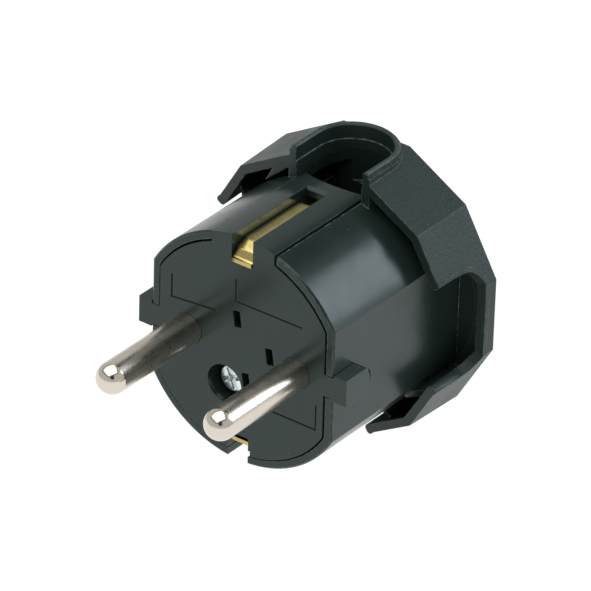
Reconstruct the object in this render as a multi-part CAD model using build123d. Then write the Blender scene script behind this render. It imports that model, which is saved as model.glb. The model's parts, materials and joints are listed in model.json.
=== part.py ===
from build123d import *
from math import radians, tan
import os

# Flat two-pin mains plug with side earth contacts, rewireable, in millimetres.
# Frame: X to the right, Y from the face into the plug, Z up towards the cable collar.
# Origin: on the face, midway between the pins. The pins point along -Y.

# Pins
pin_pitch = 19.0
pin_d = 4.8
pin_length = 19.5
pin_head_d = 7.2
pin_head_rear = 13.5
pin_seat_depth = 1.0
pin_undercut = 0.2
wire_hole_d = 3.0
wire_hole_y = 8.4
terminal_thread_d = 2.9

# Sleeve of the cover: a round with two flats
sleeve_r = 18.3
sleeve_flat_depth = 2.3
sleeve_wall = 1.25
carrier_gap = 0.26
rim_bevel = 0.25

# Flange: a twelve-sided drafted wall with a back plate
flange_sides = 12
flange_apothem = 21.7
flange_draft = 1.9
flange_front = 19.5
flange_edge = 30.7
flange_wall = 1.4
back_y = 32.0
back_bevel_angle = 45
back_plate = 2.2

# Finger cut-outs in the flange, with a raised lip round each
finger_half = 9.45
finger_rise = 0.25
finger_rear = 28.2
finger_corner = 3.3
finger_lip = 0.8
finger_lip_rise = 0.15
gusset_offset = 10.6
gusset_t = 1.0
gusset_set_back = 3.2
web_tip = (-11.1, 15.0)
web_root = (-9.95, 17.2)
web_end = (-6.6, 18.9)
web_t = 1.0

# Cable collar: a U open to the front
collar_half = 5.7
collar_wall = 1.0
collar_top = 22.4
collar_bevel = 0.25
collar_ledge = 0.35
collar_ledge_drop = 0.8
collar_back_gap = 0.15
collar_step = 0.15
collar_step_drop = 2.4

# Pin carrier, which sits a little low and to the left in the sleeve
seat_x = -0.1
seat_z = -0.13
carrier_disc = 3.2
block_gap = 0.24
block_x = -0.2
block_depth = 5.0
block_arc_r = 8.8
block_arc_front = 19.6
pin_boss_wall = 1.0
pin_boss_rear = 6.8
pin_rib_half = 2.2
fit = 0.1
slip = 0.05

# Side lugs of the carrier
lug_half = 2.1
lug_length = 6.2
lug_bevel = 0.7
lug_bevel_set_back = 1.0
lug_neck_half = 1.7
lug_neck_length = 4.2
lug_gap = 0.05
notch_gap = 0.15

# Earth strap and its slots
strap_x = -0.3
strap_w = 3.5
strap_t = 0.6
strap_sink = 1.75
strap_bend = 0.9
strap_lip_front = -0.25
strap_lip_end_drop = 4.0
strap_lip_flat = 0.5
low_lip_front = 0.3
low_lip_end_drop = 3.25
strap_knee_y = 1.3
strap_knee_drop = 2.6
strap_flat_start = 2.8
strap_dip_start = 15.6
strap_dip_end = 17.1
strap_dip = 1.2
strap_rear = 18.5
strap_screw_gap = 0.4
strap_pad_w = 8.0
strap_pad_h = 7.4
slot_side_gap = 0.1
slot_rear = 17.1
slot_front_depth = 3.2
slot_lip_room = 0.3
slot_rear_bevel = 0.5
low_slot_step = 0.35
slot_roof = 1.45

# Earth terminal
earth_drop = 5.2
earth_thread_d = 3.5
earth_nut_w = 6.5
earth_nut_t = 2.4
earth_washer_w = 7.0
earth_washer_t = 1.0
earth_tower_wall = 1.2

# Assembly screw, in its recess in the face
screw_x = -2.85
screw_z = -6.5
screw_d = 3.5
screw_head_d = 5.1
screw_head_h = 2.0
screw_head_y = 1.8
screw_recess_d = 6.0
screw_head_bevel = 0.6
cross_w = 0.9
cross_reach = 1.7
cross_depth = 0.7
cross_taper = 28
cross_turn = 24
screw_length = 22.0
screw_boss_wall = 1.3
screw_boss_rear = 9.0
insert_d = 5.2
insert_strap_gap = 1.1
insert_past_screw = 1.1
insert_post_wall = 1.4

# Cord clamp, on two posts of the cover
clamp_edge = 9.3
clamp_drop = 7.9
clamp_h = 4.2
clamp_t = 2.6
clamp_rear = 24.0
clamp_end = 2.5
clamp_rib = 0.6
clamp_screw_d = 2.9
clamp_screw_reach = 4.4
clamp_post_w = 5.2

# Screw heads inside the plug
head_d = 5.2
head_h = 1.8
head_gap = 0.6
slot_w = 0.8
slot_depth = 0.8

# Face details
key_slot_w = 1.25
key_slot_h = 2.6
key_slot_depth = 2.6
key_slot_tilt = 9.5
key_slot_places = [(-0.9, 4.85), (4.9, 0.85), (0.9, -4.7)]
panel_line_w = 0.28
panel_line_depth = 0.2
panel_lines = [
    [(-12.5, 7.9), (-12.5, 4.2), (-4.6, 4.9)],
    [(-1.2, 11.3), (-1.2, 7.7), (10.4, 7.7)],
    [(5.7, -7.8), (13.2, -7.8), (13.2, -3.7)],
]

# Sizes that follow from the ones above
pin_r = pin_d / 2
pin_x = pin_pitch / 2
pin_head_r = pin_head_d / 2
sleeve_flat = sleeve_r - sleeve_flat_depth
sleeve_bore = sleeve_r - sleeve_wall
bore_flat = sleeve_flat - sleeve_wall
carrier_r = sleeve_bore - carrier_gap
carrier_flat = bore_flat - carrier_gap
floor_y = back_y - back_plate
block_half = collar_half - block_gap
block_low = sleeve_r - block_depth
collar_outer = collar_half + collar_wall
collar_round_y = back_y - collar_back_gap - collar_outer
slot_half = strap_w / 2 + slot_side_gap
slot_left = strap_x - slot_half
slot_right = strap_x + slot_half
strap_z = sleeve_r - strap_sink - strap_t / 2
strap_under = strap_z - strap_t / 2
strap_knee = sleeve_r - strap_knee_drop
strap_lip_end = sleeve_r - strap_lip_end_drop
low_lip_end = sleeve_r - low_lip_end_drop
dip_z = strap_z - strap_dip
roof_under = sleeve_r - slot_roof
clamp_pitch = 2 * (sleeve_r - clamp_edge)
clamp_z = sleeve_r - clamp_drop
earth_z = clamp_z - earth_drop
earth_tower = earth_nut_w / 2 + fit + earth_tower_wall
strap_face = strap_rear - strap_t / 2
strap_back = strap_rear + strap_t / 2
screw_bearing = screw_head_y + screw_head_h
screw_end = screw_bearing + screw_length
insert_front = strap_back + insert_strap_gap
insert_length = screw_end + insert_past_screw - insert_front
big = 3 * sleeve_r


def slab(profile, y_from, y_to):
    "Profile drawn as X, Z and carried along Y"
    return extrude(Plane.XZ.offset(-y_to) * profile, amount=y_to - y_from)


def standing(profile, z_from, z_to):
    "Profile drawn as X, Y and carried up along Z"
    return extrude(Plane.XY.offset(z_from) * profile, amount=z_to - z_from)


def across(profile, half_width):
    "Profile drawn as Y, Z and carried to both sides along X"
    return extrude(Plane.YZ * profile, amount=half_width, both=True)


def rod(x, z, radius, y_from, y_to):
    return slab(Pos(x, z) * Circle(radius), y_from, y_to)


def block(x_from, x_to, y_from, y_to, z_from, z_to):
    size = (x_to - x_from, y_to - y_from, z_to - z_from)
    return Pos(x_from, y_from, z_from) * Box(*size, align=(Align.MIN, Align.MIN, Align.MIN))


def post(x, z, half, y_from, y_to):
    return block(x - half, x + half, y_from, y_to, z - half, z + half)


def round_with_flats(radius, flat):
    return Circle(radius) & Rectangle(2 * flat, 2 * radius)


def twelve_sided(apothem):
    return RegularPolygon(apothem, flange_sides, major_radius=False, rotation=180 / flange_sides)


def drafted(apothem, y_from, y_to):
    "Twelve-sided prism that narrows towards the front by the flange's draft"
    base = Plane.XZ.offset(-y_to) * twelve_sided(apothem)
    return extrude(base, amount=y_to - y_from, taper=flange_draft)


def u_outline(half, y_front):
    "Plan of the collar: two legs and a round end, drawn as X, Y"
    legs = Pos(0, (y_front + collar_round_y) / 2) * Rectangle(2 * half, collar_round_y - y_front)
    return legs + Pos(0, collar_round_y) * Circle(half)


def finger_cutter(grow, turn):
    "Cut-out with ends square to the slanting facets and round rear corners, turned about Y to its side"
    facet_turn = 360 / flange_sides
    inner = sleeve_r + fit
    outer = flange_apothem + flange_wall
    splay = tan(radians(facet_turn))
    half_in = finger_half + grow - (flange_apothem - inner) * splay
    half_out = finger_half + grow + (outer - flange_apothem) * splay
    section = make_face(
        Polyline((-half_in, -inner), (half_in, -inner), (half_out, -outer), (-half_out, -outer), close=True)
    )
    cutter = slab(section, flange_front - flange_wall, finger_rear + grow)
    ends = cutter.edges().group_by(Axis.Y)[-1]
    corners = [edge for edge in ends if abs(edge.center().X) > finger_half / 2]
    rise = finger_rise if turn else 0
    return Pos(0, 0, rise) * Rot(0, turn, 0) * fillet(corners, finger_corner + grow)


def cheese_head(x, z, y_bearing, diameter, height, direction):
    "Slotted screw head; direction -1 faces the front, +1 the back"
    top = y_bearing + direction * height
    head = rod(x, z, diameter / 2, min(y_bearing, top), max(y_bearing, top))
    low, high = sorted((top, top - direction * slot_depth))
    return head - block(x - diameter, x + diameter, low, high, z - slot_w / 2, z + slot_w / 2)


def make_gussets():
    "Ribs in the hollow behind the left and the two lower wings, with sloping front edges"
    foot = (sleeve_r**2 - gusset_offset**2) ** 0.5
    rise = flange_apothem - foot
    profile = make_face(
        Polyline(
            (flange_front, foot - sleeve_wall / 2),
            (flange_front, foot),
            (flange_front + gusset_set_back, foot + gusset_set_back),
            (floor_y + fit, foot + rise),
            (floor_y + fit, foot - sleeve_wall / 2),
            close=True,
        )
    )
    right_rib = Pos(gusset_offset, 0, 0) * across(profile, gusset_t / 2)
    left_rib = mirror(right_rib, about=Plane.YZ)
    hollow = drafted(flange_apothem - flange_wall / 2, flange_front - fit, back_y - back_plate / 2)
    ribs = [Rot(0, -90, 0) * left_rib, Rot(0, -90, 0) * right_rib]
    ribs += [Rot(0, 180, 0) * left_rib, Rot(0, 180, 0) * right_rib, Rot(0, 90, 0) * right_rib]
    return [one & hollow for one in ribs + [make_collar_web()]]


def make_collar_web():
    "Three-cornered plate at the flange's front, left of the collar"
    root_in = (web_root[0], web_root[1] + flange_wall)
    end_in = (web_end[0], web_end[1] + flange_wall)
    outline = make_face(Polyline(web_tip, web_root, root_in, end_in, web_end, close=True))
    return slab(outline, flange_front, flange_front + web_t)


def make_flange():
    wall = drafted(flange_apothem, flange_front, flange_edge)
    bevel = back_y - flange_edge
    edge = Plane.XZ.offset(-flange_edge) * twelve_sided(flange_apothem)
    back = extrude(edge, amount=-bevel, taper=back_bevel_angle)
    shell = wall + back
    inside = drafted(flange_apothem - flange_wall, flange_front - flange_wall, floor_y)
    shell -= inside
    lip_band = drafted(flange_apothem + finger_lip_rise, flange_front, flange_edge) - inside
    for turn in (0, 90, -90):
        shell += lip_band & finger_cutter(finger_lip, turn)
        shell -= finger_cutter(0, turn)
    return shell


def make_collar():
    "U wall with a lower ledge round its outside"
    foot = sleeve_bore - sleeve_wall
    wall = standing(u_outline(collar_outer, flange_front), foot, collar_top)
    ledge_outline = u_outline(collar_outer + collar_ledge, flange_front)
    ledge = standing(ledge_outline, foot, collar_top - collar_ledge_drop)
    return (wall + ledge) & block(-big, big, 0, back_y, 0, big)


def make_cover():
    sleeve = slab(round_with_flats(sleeve_r, sleeve_flat), 0, floor_y + back_plate / 2)
    sleeve = chamfer(sleeve.edges().group_by(Axis.Y)[0], rim_bevel)
    cover = make_flange() + sleeve + make_collar()
    cover = cover + make_gussets()
    cover -= slab(round_with_flats(sleeve_bore, bore_flat), -fit, floor_y)
    # cable passage down the collar, with a fine step below its mouth
    cover -= standing(u_outline(collar_half, -fit), block_low, big)
    mouth = u_outline(collar_half + collar_step, flange_front - fit)
    cover -= standing(mouth, collar_top - collar_step_drop, big)
    cover = chamfer(cover.edges().group_by(Axis.Z)[-1], collar_bevel)
    # slot for the lower earth contact, and the notches that the lugs pass through
    cover -= block(slot_left, slot_right, -fit, slot_rear, -big, -block_low)
    notch = lug_neck_half + notch_gap
    through = block(-big, big, -fit, lug_neck_length + notch_gap, -notch, notch)
    cover -= through & slab(Circle(sleeve_r), -fit, floor_y)
    # ribs that hold the pins forward, post of the insert, posts of the cord clamp
    rib_in = head_d / 2 + head_gap
    rib_out = pin_head_r + pin_boss_wall
    for side in (-1, 1):
        for edge in (rib_in, -rib_out):
            x = side * pin_x + edge
            rib_end = x + rib_out - rib_in
            cover += block(x, rib_end, pin_head_rear + fit, floor_y + fit, -pin_rib_half, pin_rib_half)
        x = side * clamp_pitch / 2
        cover += post(x, clamp_z, clamp_post_w / 2, clamp_rear, floor_y + fit)
        pilot_end = clamp_rear + clamp_screw_reach + fit
        cover -= rod(x, clamp_z, clamp_screw_d / 2 + slip, clamp_rear - fit, pilot_end)
        rib = side * collar_half / 2
        rib_top = floor_y - clamp_rib
        cover += block(rib - clamp_rib, rib + clamp_rib, rib_top, floor_y + fit, clamp_z - clamp_h, clamp_z)
    cover += post(screw_x, screw_z, insert_d / 2 + insert_post_wall, insert_front, floor_y + fit)
    cover -= rod(screw_x, screw_z, insert_d / 2 + slip, insert_front - fit, insert_front + insert_length)
    return cover


def make_lug(side):
    "Neck through the sleeve's notch and a round-ended head outside it"
    neck_end = sleeve_flat + lug_gap + fit
    neck = block(carrier_flat / 2, neck_end, 0, lug_neck_length, -lug_neck_half, lug_neck_half)
    centre = lug_length - lug_half
    outline = Pos(centre / 2, 0) * Rectangle(centre, 2 * lug_half) + Pos(centre, 0) * Circle(lug_half)
    reach = sleeve_r - sleeve_flat - lug_gap
    head = extrude(Plane.YZ.offset(sleeve_flat + lug_gap) * outline, amount=reach)
    # bevel of the round end, which runs out towards the straight edges
    narrow = lug_half + lug_bevel_set_back - lug_bevel
    bevel = Rot(0, 90, 0) * Cone(narrow + 2 * reach, narrow, reach)
    bevel = Pos(sleeve_r - reach / 2, centre - lug_bevel_set_back, 0) * bevel
    head &= bevel + block(0, big, -fit, centre, -big, big)
    lug = neck + head
    return lug if side > 0 else mirror(lug, about=Plane.YZ)


def make_blocks():
    "Top block that fills the sleeve's slot, and the lower block inside the sleeve"
    strip = Pos(block_x, 0) * Rectangle(2 * block_half, 2 * big)
    front = strip & Circle(sleeve_r)
    low_front = strip & Pos(seat_x, seat_z) * round_with_flats(carrier_r, carrier_flat)
    keep_top = slab(front, 0, flange_front + block_depth) & block(-big, big, -fit, big, block_low, big)
    seat = Pos(0, block_arc_front + block_arc_r) * Circle(block_arc_r)
    keep_top -= standing(seat, 0, big)
    keep_low = slab(low_front, 0, slot_rear) & block(-big, big, -fit, big, -big, -block_low)
    rib_half = slot_half - 2 * slot_side_gap
    rib = block(strap_x - rib_half, strap_x + rib_half, 0, slot_rear, -strap_under, -block_low)
    return keep_top + keep_low + rib


def strap_slots(side):
    "Room for one leg of the strap: channel, front pocket, and the way in under the roof"
    channel = block(slot_left, slot_right, -fit, slot_rear, strap_under - slip, big)
    pocket = block(slot_left, slot_right, -fit, slot_front_depth, strap_lip_end - slot_lip_room, big)
    dive = block(slot_left, slot_right, strap_dip_start - strap_t, slot_rear, dip_z - strap_t, big)
    under = block(slot_left, slot_right, slot_rear - fit, big, 0, roof_under)
    under &= block(-big, big, strap_dip_end - strap_t, big, block_low - fit, big)
    room = channel + pocket + dive + under
    return room if side > 0 else mirror(room, about=Plane.XY)


def make_carrier():
    carrier = slab(Pos(seat_x, seat_z) * round_with_flats(carrier_r, carrier_flat), 0, carrier_disc)
    carrier += make_blocks()
    for side in (-1, 1):
        carrier += make_lug(side)
        carrier += post(side * pin_x, 0, pin_head_r + fit + pin_boss_wall, 0, pin_boss_rear)
    carrier += post(screw_x, screw_z, screw_recess_d / 2 + screw_boss_wall, 0, screw_boss_rear)
    tower = block(-earth_tower, earth_tower, 0, strap_face, earth_z - earth_tower, earth_z + earth_tower)
    carrier += tower
    # pin seats: a small hole at the face and a wider one for the head behind it
    for side in (-1, 1):
        carrier -= rod(side * pin_x, 0, pin_r + slip, -fit, carrier_disc)
        carrier -= rod(side * pin_x, 0, pin_head_r + fit, pin_seat_depth, screw_boss_rear + fit)
        carrier -= strap_slots(side)
    # wider mouth of the lower slot, bevelled rear end of the upper one
    carrier -= block(slot_left, slot_right + low_slot_step, -fit, slot_rear, -big, -strap_under)
    bevel = Rot(45, 0, 0) * Box(2 * slot_half, slot_rear_bevel * 2**0.5, slot_rear_bevel * 2**0.5)
    carrier -= Pos(strap_x, slot_rear, sleeve_r) * bevel
    # recess and hole of the assembly screw
    carrier -= rod(screw_x, screw_z, screw_recess_d / 2, -fit, screw_bearing)
    carrier -= rod(screw_x, screw_z, screw_d / 2 + fit, 0, screw_boss_rear + fit)
    # pocket of the earth nut and room for the end of its screw
    nut = earth_nut_w / 2 + fit
    nut_floor = strap_face - earth_nut_t - slip
    carrier -= block(-nut, nut, nut_floor, strap_face + fit, earth_z - nut, earth_z + nut)
    carrier -= rod(0, earth_z, earth_thread_d / 2 + fit, carrier_disc + fit, strap_face)
    for x, z in key_slot_places:
        key_slot = Pos(x, z) * Rectangle(key_slot_w, key_slot_h, rotation=key_slot_tilt)
        carrier -= slab(key_slot, -fit, key_slot_depth)
    for points in panel_lines:
        carrier -= slab(trace(Polyline(*points), panel_line_w), -fit, panel_line_depth)
    return carrier


def make_pin(side):
    "Turned pin with a round end, an undercut behind the face and a head drilled from above for the wire"
    x = side * pin_x
    dome_y = pin_r - pin_length
    outline = make_face(
        Polyline((0, dome_y), (pin_r, dome_y), (pin_r, 0), (pin_r - pin_undercut, 0),
                 (pin_r - pin_undercut, pin_seat_depth), (pin_head_r, pin_seat_depth),
                 (pin_head_r, pin_head_rear), (0, pin_head_rear), close=True)
    )
    pin = revolve(outline, Axis.Y) + Pos(0, dome_y, 0) * Sphere(pin_r)
    upward = (Align.CENTER, Align.CENTER, Align.MIN)
    pin -= Pos(0, wire_hole_y, -wire_hole_d / 2) * Cylinder(wire_hole_d / 2, pin_head_d, align=upward)
    pin -= rod(0, 0, terminal_thread_d / 2 + slip, wire_hole_y, pin_head_rear + fit)
    return Pos(x, 0, 0) * pin


def make_terminal_screw(side):
    x = side * pin_x
    shank = rod(x, 0, terminal_thread_d / 2, wire_hole_y + wire_hole_d / 2, pin_head_rear + 2 * fit)
    return shank + cheese_head(x, 0, pin_head_rear + fit, head_d, head_h, 1)


def make_strap_leg(lip_front, lip_end):
    "Upper leg from its lip over the knee and the contact run down to the middle"
    path = FilletPolyline(
        (lip_front, lip_end),
        (lip_front + strap_lip_flat, lip_end),
        (strap_knee_y, strap_knee),
        (strap_flat_start, strap_z),
        (strap_dip_start, strap_z),
        (strap_dip_end, dip_z),
        (strap_rear, dip_z),
        (strap_rear, 0),
        radius=strap_bend,
    )
    return Pos(strap_x, 0, 0) * across(trace(path, strap_t), strap_w / 2)


def make_earth_strap():
    low_leg = make_strap_leg(low_lip_front, low_lip_end)
    strap = make_strap_leg(strap_lip_front, strap_lip_end) + mirror(low_leg, about=Plane.XY)
    pad_x = strap_pad_w / 2
    pad_z = strap_pad_h / 2
    strap += block(-pad_x, pad_x, strap_face, strap_back, earth_z - pad_z, earth_z + pad_z)
    strap -= rod(0, earth_z, earth_thread_d / 2 + fit, strap_face - fit, strap_back + fit)
    strap -= rod(screw_x, screw_z, screw_d / 2 + strap_screw_gap, strap_face - fit, strap_back + fit)
    return strap


def make_earth_nut():
    half = earth_nut_w / 2
    nut = block(-half, half, strap_face - earth_nut_t, strap_face, earth_z - half, earth_z + half)
    return nut - rod(0, earth_z, earth_thread_d / 2 + slip, 0, back_y)


def make_earth_washer():
    half = earth_washer_w / 2
    washer = block(-half, half, strap_back, strap_back + earth_washer_t, earth_z - half, earth_z + half)
    return washer - rod(0, earth_z, earth_thread_d / 2 + fit, 0, back_y)


def make_earth_screw():
    bearing = strap_back + earth_washer_t
    shank = rod(0, earth_z, earth_thread_d / 2, strap_face - 2 * earth_nut_t, bearing + fit)
    return shank + cheese_head(0, earth_z, bearing, head_d, head_h, 1)


def make_assembly_screw():
    "Pan head with a cross recess, sunk in the face, and a long plain shank"
    head = rod(screw_x, screw_z, screw_head_d / 2, screw_head_y, screw_bearing)
    head = chamfer(head.edges().group_by(Axis.Y)[0], screw_head_bevel)
    cross = Rectangle(2 * cross_reach, cross_w) + Rectangle(cross_w, 2 * cross_reach)
    mouth = Plane.XZ.offset(-screw_head_y) * Pos(screw_x, screw_z) * Rot(0, 0, cross_turn) * cross
    head -= extrude(mouth, amount=-cross_depth, taper=cross_taper)
    return head + rod(screw_x, screw_z, screw_d / 2, screw_bearing - fit, screw_end)


def make_insert():
    ring = Pos(screw_x, screw_z) * (Circle(insert_d / 2) - Circle(screw_d / 2 + slip))
    return slab(ring, insert_front, insert_front + insert_length)


def make_cord_clamp():
    "Round-ended bar with a raised grip on the cord's side"
    span = clamp_pitch + 2 * clamp_end
    bar = slab(Pos(0, clamp_z) * SlotOverall(span, clamp_h), clamp_rear - clamp_t, clamp_rear)
    for side in (-1, 1):
        bar -= rod(side * clamp_pitch / 2, clamp_z, clamp_screw_d / 2 + fit, 0, back_y)
    grip = Pos(0, clamp_z) * Rectangle(collar_half, 2 * clamp_rib)
    return bar + slab(grip, clamp_rear - fit, clamp_rear + clamp_rib)


def make_clamp_screw(side):
    x = side * clamp_pitch / 2
    bearing = clamp_rear - clamp_t
    shank = rod(x, clamp_z, clamp_screw_d / 2, bearing - fit, clamp_rear + clamp_screw_reach)
    return shank + cheese_head(x, clamp_z, bearing, head_d, head_h, -1)


pieces = {
    "cover": make_cover(),
    "pin_carrier": make_carrier(),
    "left_pin": make_pin(-1),
    "right_pin": make_pin(1),
    "pin_terminal_screws": Compound([make_terminal_screw(side) for side in (-1, 1)]),
    "earth_strap": make_earth_strap(),
    "earth_nut": make_earth_nut(),
    "earth_wire_washer": make_earth_washer(),
    "earth_terminal_screw": make_earth_screw(),
    "assembly_screw": make_assembly_screw(),
    "threaded_insert": make_insert(),
    "cord_clamp": make_cord_clamp(),
    "cord_clamp_screws": Compound([make_clamp_screw(side) for side in (-1, 1)]),
}

os.makedirs("parts", exist_ok=True)
for name, shape in pieces.items():
    export_step(shape, f"parts/{name}.step")
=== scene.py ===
import json
import math

import bmesh
import bpy
from mathutils import Matrix, Vector


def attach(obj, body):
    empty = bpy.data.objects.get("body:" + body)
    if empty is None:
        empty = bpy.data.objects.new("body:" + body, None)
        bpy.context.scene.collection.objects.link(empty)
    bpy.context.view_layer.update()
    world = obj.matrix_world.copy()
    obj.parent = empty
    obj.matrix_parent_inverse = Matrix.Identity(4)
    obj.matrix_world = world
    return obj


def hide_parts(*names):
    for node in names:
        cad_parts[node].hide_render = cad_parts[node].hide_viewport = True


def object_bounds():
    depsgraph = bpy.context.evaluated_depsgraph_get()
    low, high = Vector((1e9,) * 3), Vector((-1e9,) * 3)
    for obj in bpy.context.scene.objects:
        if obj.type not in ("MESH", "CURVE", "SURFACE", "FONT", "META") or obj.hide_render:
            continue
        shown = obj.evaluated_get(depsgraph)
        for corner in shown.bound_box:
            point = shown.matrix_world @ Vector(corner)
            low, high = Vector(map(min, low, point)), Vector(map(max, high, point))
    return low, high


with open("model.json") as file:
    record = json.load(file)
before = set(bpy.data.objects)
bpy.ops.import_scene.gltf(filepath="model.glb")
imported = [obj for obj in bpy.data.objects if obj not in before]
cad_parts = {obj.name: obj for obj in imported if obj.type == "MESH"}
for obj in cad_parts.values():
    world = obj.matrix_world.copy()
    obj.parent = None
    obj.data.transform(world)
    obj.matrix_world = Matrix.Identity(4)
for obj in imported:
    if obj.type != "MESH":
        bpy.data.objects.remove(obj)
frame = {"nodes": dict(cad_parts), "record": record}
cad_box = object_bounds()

MM = 0.001
scene = bpy.context.scene
nodes = frame["nodes"]


# Colours and material nodes
def linear(hex_colour):
    "sRGB hex to linear RGBA"
    parts = [int(hex_colour[i:i + 2], 16) / 255 for i in (1, 3, 5)]
    return [c / 12.92 if c <= 0.04045 else ((c + 0.055) / 1.055) ** 2.4 for c in parts] + [1.0]


def add(tree, kind, inputs=None, **settings):
    "Adds a node, sets it up, and gives each input, by name or place, a value or a link"
    made = tree.nodes.new(kind)
    for name, value in settings.items():
        setattr(made, name, value)
    for name, value in (inputs or {}).items():
        if isinstance(value, bpy.types.NodeSocket):
            tree.links.new(value, made.inputs[name])
        else:
            made.inputs[name].default_value = value
    return made


def new_material(name):
    "A material with its shader and output, ready for its patterns"
    material = bpy.data.materials.new(name)
    material.use_nodes = True
    tree = material.node_tree
    tree.nodes.clear()
    shader = add(tree, "ShaderNodeBsdfPrincipled")
    add(tree, "ShaderNodeOutputMaterial", {"Surface": shader.outputs["BSDF"]})
    place = add(tree, "ShaderNodeTexCoord").outputs["Object"]
    return material, tree, shader, place


def per_metre(size_mm):
    "Scale of a pattern whose features repeat every so many millimetres"
    return 1 / (size_mm * MM)


def nowhere(tree, place):
    "Zone of a material that is the same all over"
    return 0.0


# Edges too fine for a face of their own still catch the light
edge_samples = 6

# Black polyamide, injection moulded: very dark and slightly green in itself, so what the eye sees is mostly
# the room mirrored in its skin. The tool's polish gives the sleeve and the face a satin gloss, drawn out in
# fine streaks along the way the tool opens, and its spark-eroded grain gives the flange a matt one.
plastic_colour = "#1d2926"
dust_colour = "#6b7270"
plastic_ior = 1.44
plastic_tint = "#f0fffe"
patch_mm = 4.0
patch_range = (0.3, 0.7)
streak_stretch = (1.0, 0.03, 1.0)
# spark-eroded grain of about 0.1 mm, drawn at 0.4 mm so that it shows
grain_mm = 0.4
grain_depth_mm = 0.045
# dust specks of about 0.1 mm, one every few millimetres
speck_mm = 2.4
speck_range = (0.015, 0.04)
rub_mm = 0.9
rub_range = (0.42, 0.62)
edge_range = (0.99, 0.9)


def flange_zone(tree, place):
    "1 on the grained outside of the flange, 0 on the smooth sleeve"
    sleeve_edge_mm = 18.45
    flange_front_mm = 19.45
    blend_mm = 0.15
    axes = add(tree, "ShaderNodeSeparateXYZ", {"Vector": place})
    flat = add(tree, "ShaderNodeCombineXYZ", {"X": axes.outputs["X"], "Z": axes.outputs["Z"]})
    radius = add(tree, "ShaderNodeVectorMath", {0: flat.outputs["Vector"]}, operation="LENGTH")
    outside = add(tree, "ShaderNodeMapRange", {"Value": radius.outputs["Value"], "From Min": sleeve_edge_mm * MM,
                                               "From Max": (sleeve_edge_mm + blend_mm) * MM})
    behind = add(tree, "ShaderNodeMapRange", {"Value": axes.outputs["Y"], "From Min": flange_front_mm * MM,
                                              "From Max": (flange_front_mm + blend_mm) * MM})
    return add(tree, "ShaderNodeMath", {0: outside.outputs["Result"], 1: behind.outputs["Result"]},
               operation="MULTIPLY").outputs["Value"]


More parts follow.
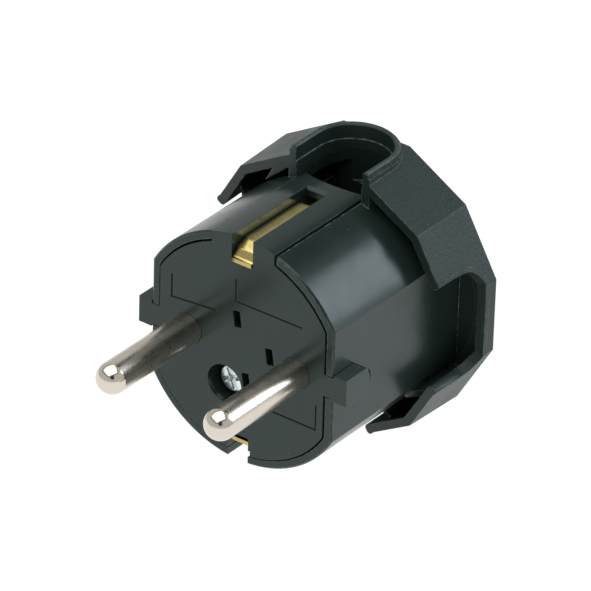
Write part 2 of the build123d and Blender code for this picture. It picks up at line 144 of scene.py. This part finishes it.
def moulded_plastic(name, zone_of, smooth_gloss, grain_gloss, streak_mm, streak_depth_mm, edge_r_mm, rubbed):
    "Satin skin with draw streaks, a grained zone, gloss patches, specks of dust and rubbed edges"
    material, tree, shader, place = new_material(name)
    zone = zone_of(tree, place)
    patches = add(tree, "ShaderNodeTexNoise", {"Vector": place, "Scale": per_metre(patch_mm), "Detail": 4.0})
    smooth = add(tree, "ShaderNodeMapRange", {"Value": patches.outputs["Fac"], "From Min": patch_range[0],
                                              "From Max": patch_range[1], "To Min": smooth_gloss[0],
                                              "To Max": smooth_gloss[1]})
    rough = add(tree, "ShaderNodeMapRange", {"Value": patches.outputs["Fac"], "From Min": patch_range[0],
                                             "From Max": patch_range[1], "To Min": grain_gloss[0],
                                             "To Max": grain_gloss[1]})
    gloss = add(tree, "ShaderNodeMix", {0: zone, 2: smooth.outputs["Result"], 3: rough.outputs["Result"]})
    # streaks run along the pins' direction; drawn coarser than real ones so that they show
    drawn = add(tree, "ShaderNodeMapping", {"Vector": place, "Scale": streak_stretch})
    streaks = add(tree, "ShaderNodeTexNoise", {"Vector": drawn.outputs["Vector"], "Scale": per_metre(streak_mm),
                                               "Detail": 3.0})
    streak_height = add(tree, "ShaderNodeMath", {0: streaks.outputs["Fac"], 1: streak_depth_mm},
                        operation="MULTIPLY")
    grain = add(tree, "ShaderNodeTexNoise", {"Vector": place, "Scale": per_metre(grain_mm), "Detail": 2.0})
    grain_height = add(tree, "ShaderNodeMath", {0: grain.outputs["Fac"], 1: grain_depth_mm}, operation="MULTIPLY")
    height = add(tree, "ShaderNodeMix", {0: zone, 2: streak_height.outputs["Value"],
                                         3: grain_height.outputs["Value"]})
    soft_edges = add(tree, "ShaderNodeBevel", {"Radius": edge_r_mm * MM}, samples=edge_samples)
    bump = add(tree, "ShaderNodeBump", {"Height": height.outputs[0], "Strength": 1.0, "Distance": MM,
                                        "Normal": soft_edges.outputs["Normal"]})
    cells = add(tree, "ShaderNodeTexVoronoi", {"Vector": place, "Scale": per_metre(speck_mm)})
    speck = add(tree, "ShaderNodeMapRange", {"Value": cells.outputs["Distance"], "From Min": speck_range[0],
                                             "From Max": speck_range[1], "To Min": 1.0, "To Max": 0.0})
    dusty = add(tree, "ShaderNodeMix", {0: speck.outputs["Result"], 6: linear(plastic_colour),
                                        7: linear(dust_colour)}, data_type="RGBA")
    # handling rubs the edges pale, a bit here and a bit there; they lie where the soft edge leaves the face
    skin = add(tree, "ShaderNodeNewGeometry")
    turn = add(tree, "ShaderNodeVectorMath", {0: soft_edges.outputs["Normal"], 1: skin.outputs["Normal"]},
               operation="DOT_PRODUCT")
    edge = add(tree, "ShaderNodeMapRange", {"Value": turn.outputs["Value"], "From Min": edge_range[0],
                                            "From Max": edge_range[1]})
    rubs = add(tree, "ShaderNodeTexNoise", {"Vector": place, "Scale": per_metre(rub_mm), "Detail": 3.0})
    rub = add(tree, "ShaderNodeMapRange", {"Value": rubs.outputs["Fac"], "From Min": rub_range[0],
                                           "From Max": rub_range[1], "To Max": rubbed})
    worn = add(tree, "ShaderNodeMath", {0: edge.outputs["Result"], 1: rub.outputs["Result"]}, operation="MULTIPLY")
    tone = add(tree, "ShaderNodeMix", {0: worn.outputs["Value"], 6: dusty.outputs[2], 7: linear(dust_colour)},
               data_type="RGBA")
    tree.links.new(tone.outputs[2], shader.inputs["Base Color"])
    tree.links.new(gloss.outputs[0], shader.inputs["Roughness"])
    tree.links.new(bump.outputs["Normal"], shader.inputs["Normal"])
    shader.inputs["IOR"].default_value = plastic_ior
    shader.inputs["Specular Tint"].default_value = linear(plastic_tint)
    return material


carrier_black = moulded_plastic(
    "black_polyamide_moulded_satin", nowhere, smooth_gloss=(0.17, 0.25), grain_gloss=(0.17, 0.25),
    streak_mm=0.5, streak_depth_mm=0.001, edge_r_mm=0.12, rubbed=0.0)
cover_black = moulded_plastic(
    "black_polyamide_moulded_satin_and_grained", flange_zone, smooth_gloss=(0.2, 0.28), grain_gloss=(0.4, 0.48),
    streak_mm=0.35, streak_depth_mm=0.003, edge_r_mm=0.2, rubbed=1.0)

# Metals
tarnish_mm = 2.5
gloss_range = (0.35, 0.7)
dull_range = (0.45, 0.75)


def pin_end_zone(tree, place):
    "1 on a pin's round end, 0 on its shank"
    dome_start_mm = -17.1
    blend_mm = 0.5
    axes = add(tree, "ShaderNodeSeparateXYZ", {"Vector": place})
    return add(tree, "ShaderNodeMapRange", {"Value": axes.outputs["Y"], "From Min": (dome_start_mm + blend_mm) * MM,
                                            "From Max": (dome_start_mm - blend_mm) * MM}).outputs["Result"]


def painted_reflection_zone(tree, place):
    "1 along the strip's left side, where it mirrors the slot's dark wall in the photograph, fading to 0"
    left_mm = -2.05
    bright_mm = -1.1
    axes = add(tree, "ShaderNodeSeparateXYZ", {"Vector": place})
    return add(tree, "ShaderNodeMapRange", {"Value": axes.outputs["X"], "From Min": left_mm * MM,
                                            "From Max": bright_mm * MM, "To Min": 1.0, "To Max": 0.0},
               interpolation_type="SMOOTHSTEP").outputs["Result"]


def rubbed_metal(name, colour, dull_colour, gloss, line_mm, line_depth_mm, line_stretch, edge_r_mm,
                 zone_of, zone_colour, zone_gloss):
    "Metal with the fine lines that turning, rolling or use leave, dulled patches, and a zone of its own"
    material, tree, shader, place = new_material(name)
    zone = zone_of(tree, place)
    patches = add(tree, "ShaderNodeTexNoise", {"Vector": place, "Scale": per_metre(tarnish_mm), "Detail": 5.0})
    rough = add(tree, "ShaderNodeMapRange", {"Value": patches.outputs["Fac"], "From Min": gloss_range[0],
                                             "From Max": gloss_range[1], "To Min": gloss[0], "To Max": gloss[1]})
    zone_rough = add(tree, "ShaderNodeMix", {0: zone, 2: rough.outputs["Result"], 3: zone_gloss})
    dulled = add(tree, "ShaderNodeMapRange", {"Value": patches.outputs["Fac"], "From Min": dull_range[0],
                                              "From Max": dull_range[1]})
    tone = add(tree, "ShaderNodeMix", {0: dulled.outputs["Result"], 6: linear(colour), 7: linear(dull_colour)},
               data_type="RGBA")
    zone_tone = add(tree, "ShaderNodeMix", {0: zone, 6: tone.outputs[2], 7: linear(zone_colour)}, data_type="RGBA")
    drawn = add(tree, "ShaderNodeMapping", {"Vector": place, "Scale": line_stretch})
    lines = add(tree, "ShaderNodeTexNoise", {"Vector": drawn.outputs["Vector"], "Scale": per_metre(line_mm),
                                             "Detail": 3.0})
    soft_edges = add(tree, "ShaderNodeBevel", {"Radius": edge_r_mm * MM}, samples=edge_samples)
    bump = add(tree, "ShaderNodeBump", {"Height": lines.outputs["Fac"], "Strength": 1.0,
                                        "Distance": line_depth_mm * MM, "Normal": soft_edges.outputs["Normal"]})
    tree.links.new(zone_tone.outputs[2], shader.inputs["Base Color"])
    tree.links.new(zone_rough.outputs[0], shader.inputs["Roughness"])
    tree.links.new(bump.outputs["Normal"], shader.inputs["Normal"])
    shader.inputs["Metallic"].default_value = 1.0
    return material


# Nickel-plated brass, turned: a warm mirror, softened along the shank by rubbing lines and burnished at the end
nickel = rubbed_metal(
    "nickel_plated_brass_turned", "#d8d0c4", "#cfc6b9", gloss=(0.25, 0.31),
    line_mm=0.2, line_depth_mm=0.001, line_stretch=(1.0, 0.04, 1.0), edge_r_mm=0.0,
    zone_of=pin_end_zone, zone_colour="#d8d0c4", zone_gloss=0.15)
# Rolled brass strip, dulled by the air: olive yellow with rolling lines, and a painted reflection of the slot's
# dark wall along its left side
brass = rubbed_metal(
    "brass_strip_rolled_dulled", "#c6b676", "#ad9e60", gloss=(0.2, 0.3),
    line_mm=0.3, line_depth_mm=0.001, line_stretch=(1.0, 0.1, 1.0), edge_r_mm=0.05,
    # the zone colour is a painted reflection: the slot's dark wall mirrored along the strip's left side
    zone_of=painted_reflection_zone, zone_colour="#3d3822", zone_gloss=0.3)
# Zinc-plated steel, bright: a cold silver with the crinkled look of a barrel-plated screw
zinc = rubbed_metal(
    "zinc_plated_steel_bright", "#e2e8e9", "#c8cfd1", gloss=(0.16, 0.26),
    line_mm=0.6, line_depth_mm=0.02, line_stretch=(1.0, 1.0, 1.0), edge_r_mm=0.0,
    zone_of=nowhere, zone_colour="#e2e8e9", zone_gloss=0.16)

finishes = {
    "cover_plastic": cover_black,
    "carrier_plastic": carrier_black,
    "nickel": nickel,
    "brass": brass,
    "zinc_steel": zinc,
}
slot_of = {part["node"]: part["material_slot"] for part in frame["record"]["subparts"]}

# Cover: the flange's wall ends in a round lip on both sides of each finger cut-out. The rounding is done in
# millimetres on a copy of the cover, which then stands for it.
finger_half = 9.45
finger_rear = 28.2
finger_corner = 3.3
finger_rise = 0.25
finger_deep = 15.0
flange_apothem = 21.7
facet_turn = math.radians(30)
lip_r = 0.54
lip_steps = 5
lip_profile = 0.5
near = 0.05
joined_within = 0.001
sharp_from = math.radians(60)
same_flat = math.radians(0.5)
kept_sharp = math.radians(20)


def on_finger_wall(point):
    "True for a point on the wall of one of the three finger cut-outs"
    x, y, z = point
    for across, out in ((x, -z), (z - finger_rise, x), (z - finger_rise, -x)):
        side = abs(across) - (out - flange_apothem) * math.tan(facet_turn)
        if out < finger_deep or y > finger_rear + near or side > finger_half + near:
            continue
        if side > finger_half - near or y > finger_rear - finger_corner - near:
            return True
    return False


def on_lip(edge):
    "True for one of the long edges at the ends of the finger cut-outs"
    a, b = (vertex.co for vertex in edge.verts)
    lengthwise = abs(a.y - b.y) > finger_corner
    return lengthwise and edge.calc_face_angle(0.0) > sharp_from and on_finger_wall(a) and on_finger_wall(b)


work = bmesh.new()
work.from_mesh(nodes["cover"].data)
bmesh.ops.scale(work, vec=(1 / MM, 1 / MM, 1 / MM), verts=work.verts)
# the CAD surfaces come in apart: where two meet, the edge stays crisp unless they run into each other smoothly
for edge in work.edges:
    edge.smooth = not edge.is_boundary
bmesh.ops.remove_doubles(work, verts=work.verts, dist=joined_within)
seams = [edge for edge in work.edges if edge.calc_face_angle(math.pi) < same_flat
         and any(on_finger_wall(vertex.co) for vertex in edge.verts)]
bmesh.ops.dissolve_limit(work, angle_limit=same_flat, verts=[], edges=seams)
bmesh.ops.bevel(work, geom=[edge for edge in work.edges if on_lip(edge)], offset=lip_r, offset_type="OFFSET",
                segments=lip_steps, profile=lip_profile, affect="EDGES", clamp_overlap=False)
bmesh.ops.triangulate(work, faces=work.faces)
bmesh.ops.scale(work, vec=(MM, MM, MM), verts=work.verts)
for face in work.faces:
    face.smooth = True
for edge in work.edges:
    edge.smooth = edge.smooth or edge.calc_face_angle(math.pi) < kept_sharp
cover_mesh = bpy.data.meshes.new("cover_moulding")
work.to_mesh(cover_mesh)
work.free()
cover_piece = bpy.data.objects.new("cover_moulding", cover_mesh)
scene.collection.objects.link(cover_piece)
cover_piece.modifiers.new("even_normals", "WEIGHTED_NORMAL").keep_sharp = True
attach(cover_piece, "root")
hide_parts("cover")

for node, shape in nodes.items():
    shown = cover_piece if node == "cover" else shape
    shown.data.materials.clear()
    shown.data.materials.append(finishes[slot_of[node]])

# Floor: a white light table just under the flange; its own light leaves no shadow
floor_gap = 0.1 * MM
floor_half = 3.0
floor_z = cad_box[0].z - floor_gap
floor_corners = [(x * floor_half, y * floor_half, floor_z) for x, y in ((-1, -1), (1, -1), (1, 1), (-1, 1))]
floor_mesh = bpy.data.meshes.new("floor")
floor_mesh.from_pydata(floor_corners, [], [(0, 1, 2, 3)])
floor = bpy.data.objects.new("floor", floor_mesh)
scene.collection.objects.link(floor)
opal, _, opal_shader, _ = new_material("opal_acrylic_matt_lit")
opal_shader.inputs["Base Color"].default_value = linear("#4a4a4a")
opal_shader.inputs["Roughness"].default_value = 0.9
opal_shader.inputs["Specular IOR Level"].default_value = 0.0
opal_shader.inputs["Emission Color"].default_value = linear("#ffffff")
opal_shader.inputs["Emission Strength"].default_value = 1.0
floor_mesh.materials.append(opal)

# Soft studio light: a pale room, large soft boxes with black hoods, and black cloths for dark frames in the metal
world = bpy.data.worlds.new("white_room")
scene.world = world
world.use_nodes = True
room = world.node_tree
room.nodes.clear()
walls = add(room, "ShaderNodeBackground", {"Color": linear("#ffffff"), "Strength": 0.6})
add(room, "ShaderNodeOutputWorld", {"Surface": walls.outputs["Background"]})

cloth, _, cloth_shader, _ = new_material("black_nylon_cloth")
cloth_shader.inputs["Base Color"].default_value = linear("#0c0c0c")
cloth_shader.inputs["Roughness"].default_value = 0.9
hood_share = 1.3


def aim(thing, direction, distance):
    "Puts a light or a cloth in a direction from the plug, facing it"
    scene.collection.objects.link(thing)
    towards = Vector(direction).normalized()
    thing.location = towards * distance
    thing.rotation_euler = towards.to_track_quat("Z", "Y").to_euler()


def black_cloth(name, direction, distance, inner, outer):
    "Square of black cloth with a square opening"
    corners = [(x * size / 2, y * size / 2, 0) for size in (inner, outer)
               for x, y in ((-1, -1), (1, -1), (1, 1), (-1, 1))]
    mesh = bpy.data.meshes.new(name)
    mesh.from_pydata(corners, [], [(i, (i + 1) % 4, (i + 1) % 4 + 4, i + 4) for i in range(4)])
    mesh.materials.append(cloth)
    hung = bpy.data.objects.new(name, mesh)
    aim(hung, direction, distance)


def soft_box(name, direction, distance, size, power, colour):
    "Square area light with the black rim of its hood round it"
    light = bpy.data.lights.new(name, "AREA")
    light.size = size
    light.energy = power
    light.color = linear(colour)[:3]
    aim(bpy.data.objects.new(name, light), direction, distance)
    black_cloth(name + "_hood", direction, distance, size, size * hood_share)


soft_box("box_right_back", (0.55, 0.69, 0.45), distance=1.0, size=0.5, power=3.5, colour="#eef4ff")
soft_box("box_overhead", (-0.12, -0.2, 0.97), distance=1.1, size=1.6, power=11.0, colour="#ffffff")
black_cloth("flag_behind", (-0.02, 0.74, 0.67), distance=1.3, inner=0.02, outer=0.5)
black_cloth("curtain_behind_camera", (0.507, -0.692, 0.514), distance=1.6, inner=0.02, outer=0.7)

# Camera at the photograph's angle
camera_azimuth = math.radians(36.232)
camera_elevation = math.radians(30.93)
camera_roll = math.radians(1.739)
camera_distance = 898.85 * MM
camera_aim = (7.568 * MM, 7.756 * MM)
camera_lens = 390.57
camera_sensor = 36.0
back = Vector((math.sin(camera_azimuth) * math.cos(camera_elevation),
               -math.cos(camera_azimuth) * math.cos(camera_elevation), math.sin(camera_elevation)))
level_right = Vector((0, 0, 1)).cross(back).normalized()
level_up = back.cross(level_right)
right = level_right * math.cos(camera_roll) + level_up * math.sin(camera_roll)
up = level_up * math.cos(camera_roll) - level_right * math.sin(camera_roll)
camera_data = bpy.data.cameras.new("camera")
camera_data.sensor_width = camera_sensor
camera_data.lens = camera_lens
camera = bpy.data.objects.new("camera", camera_data)
scene.collection.objects.link(camera)
stand = Matrix((right, up, back)).transposed().to_4x4()
stand.translation = right * camera_aim[0] + up * camera_aim[1] + back * camera_distance
camera.matrix_world = stand
scene.camera = camera
scene.view_settings.view_transform = "Standard"
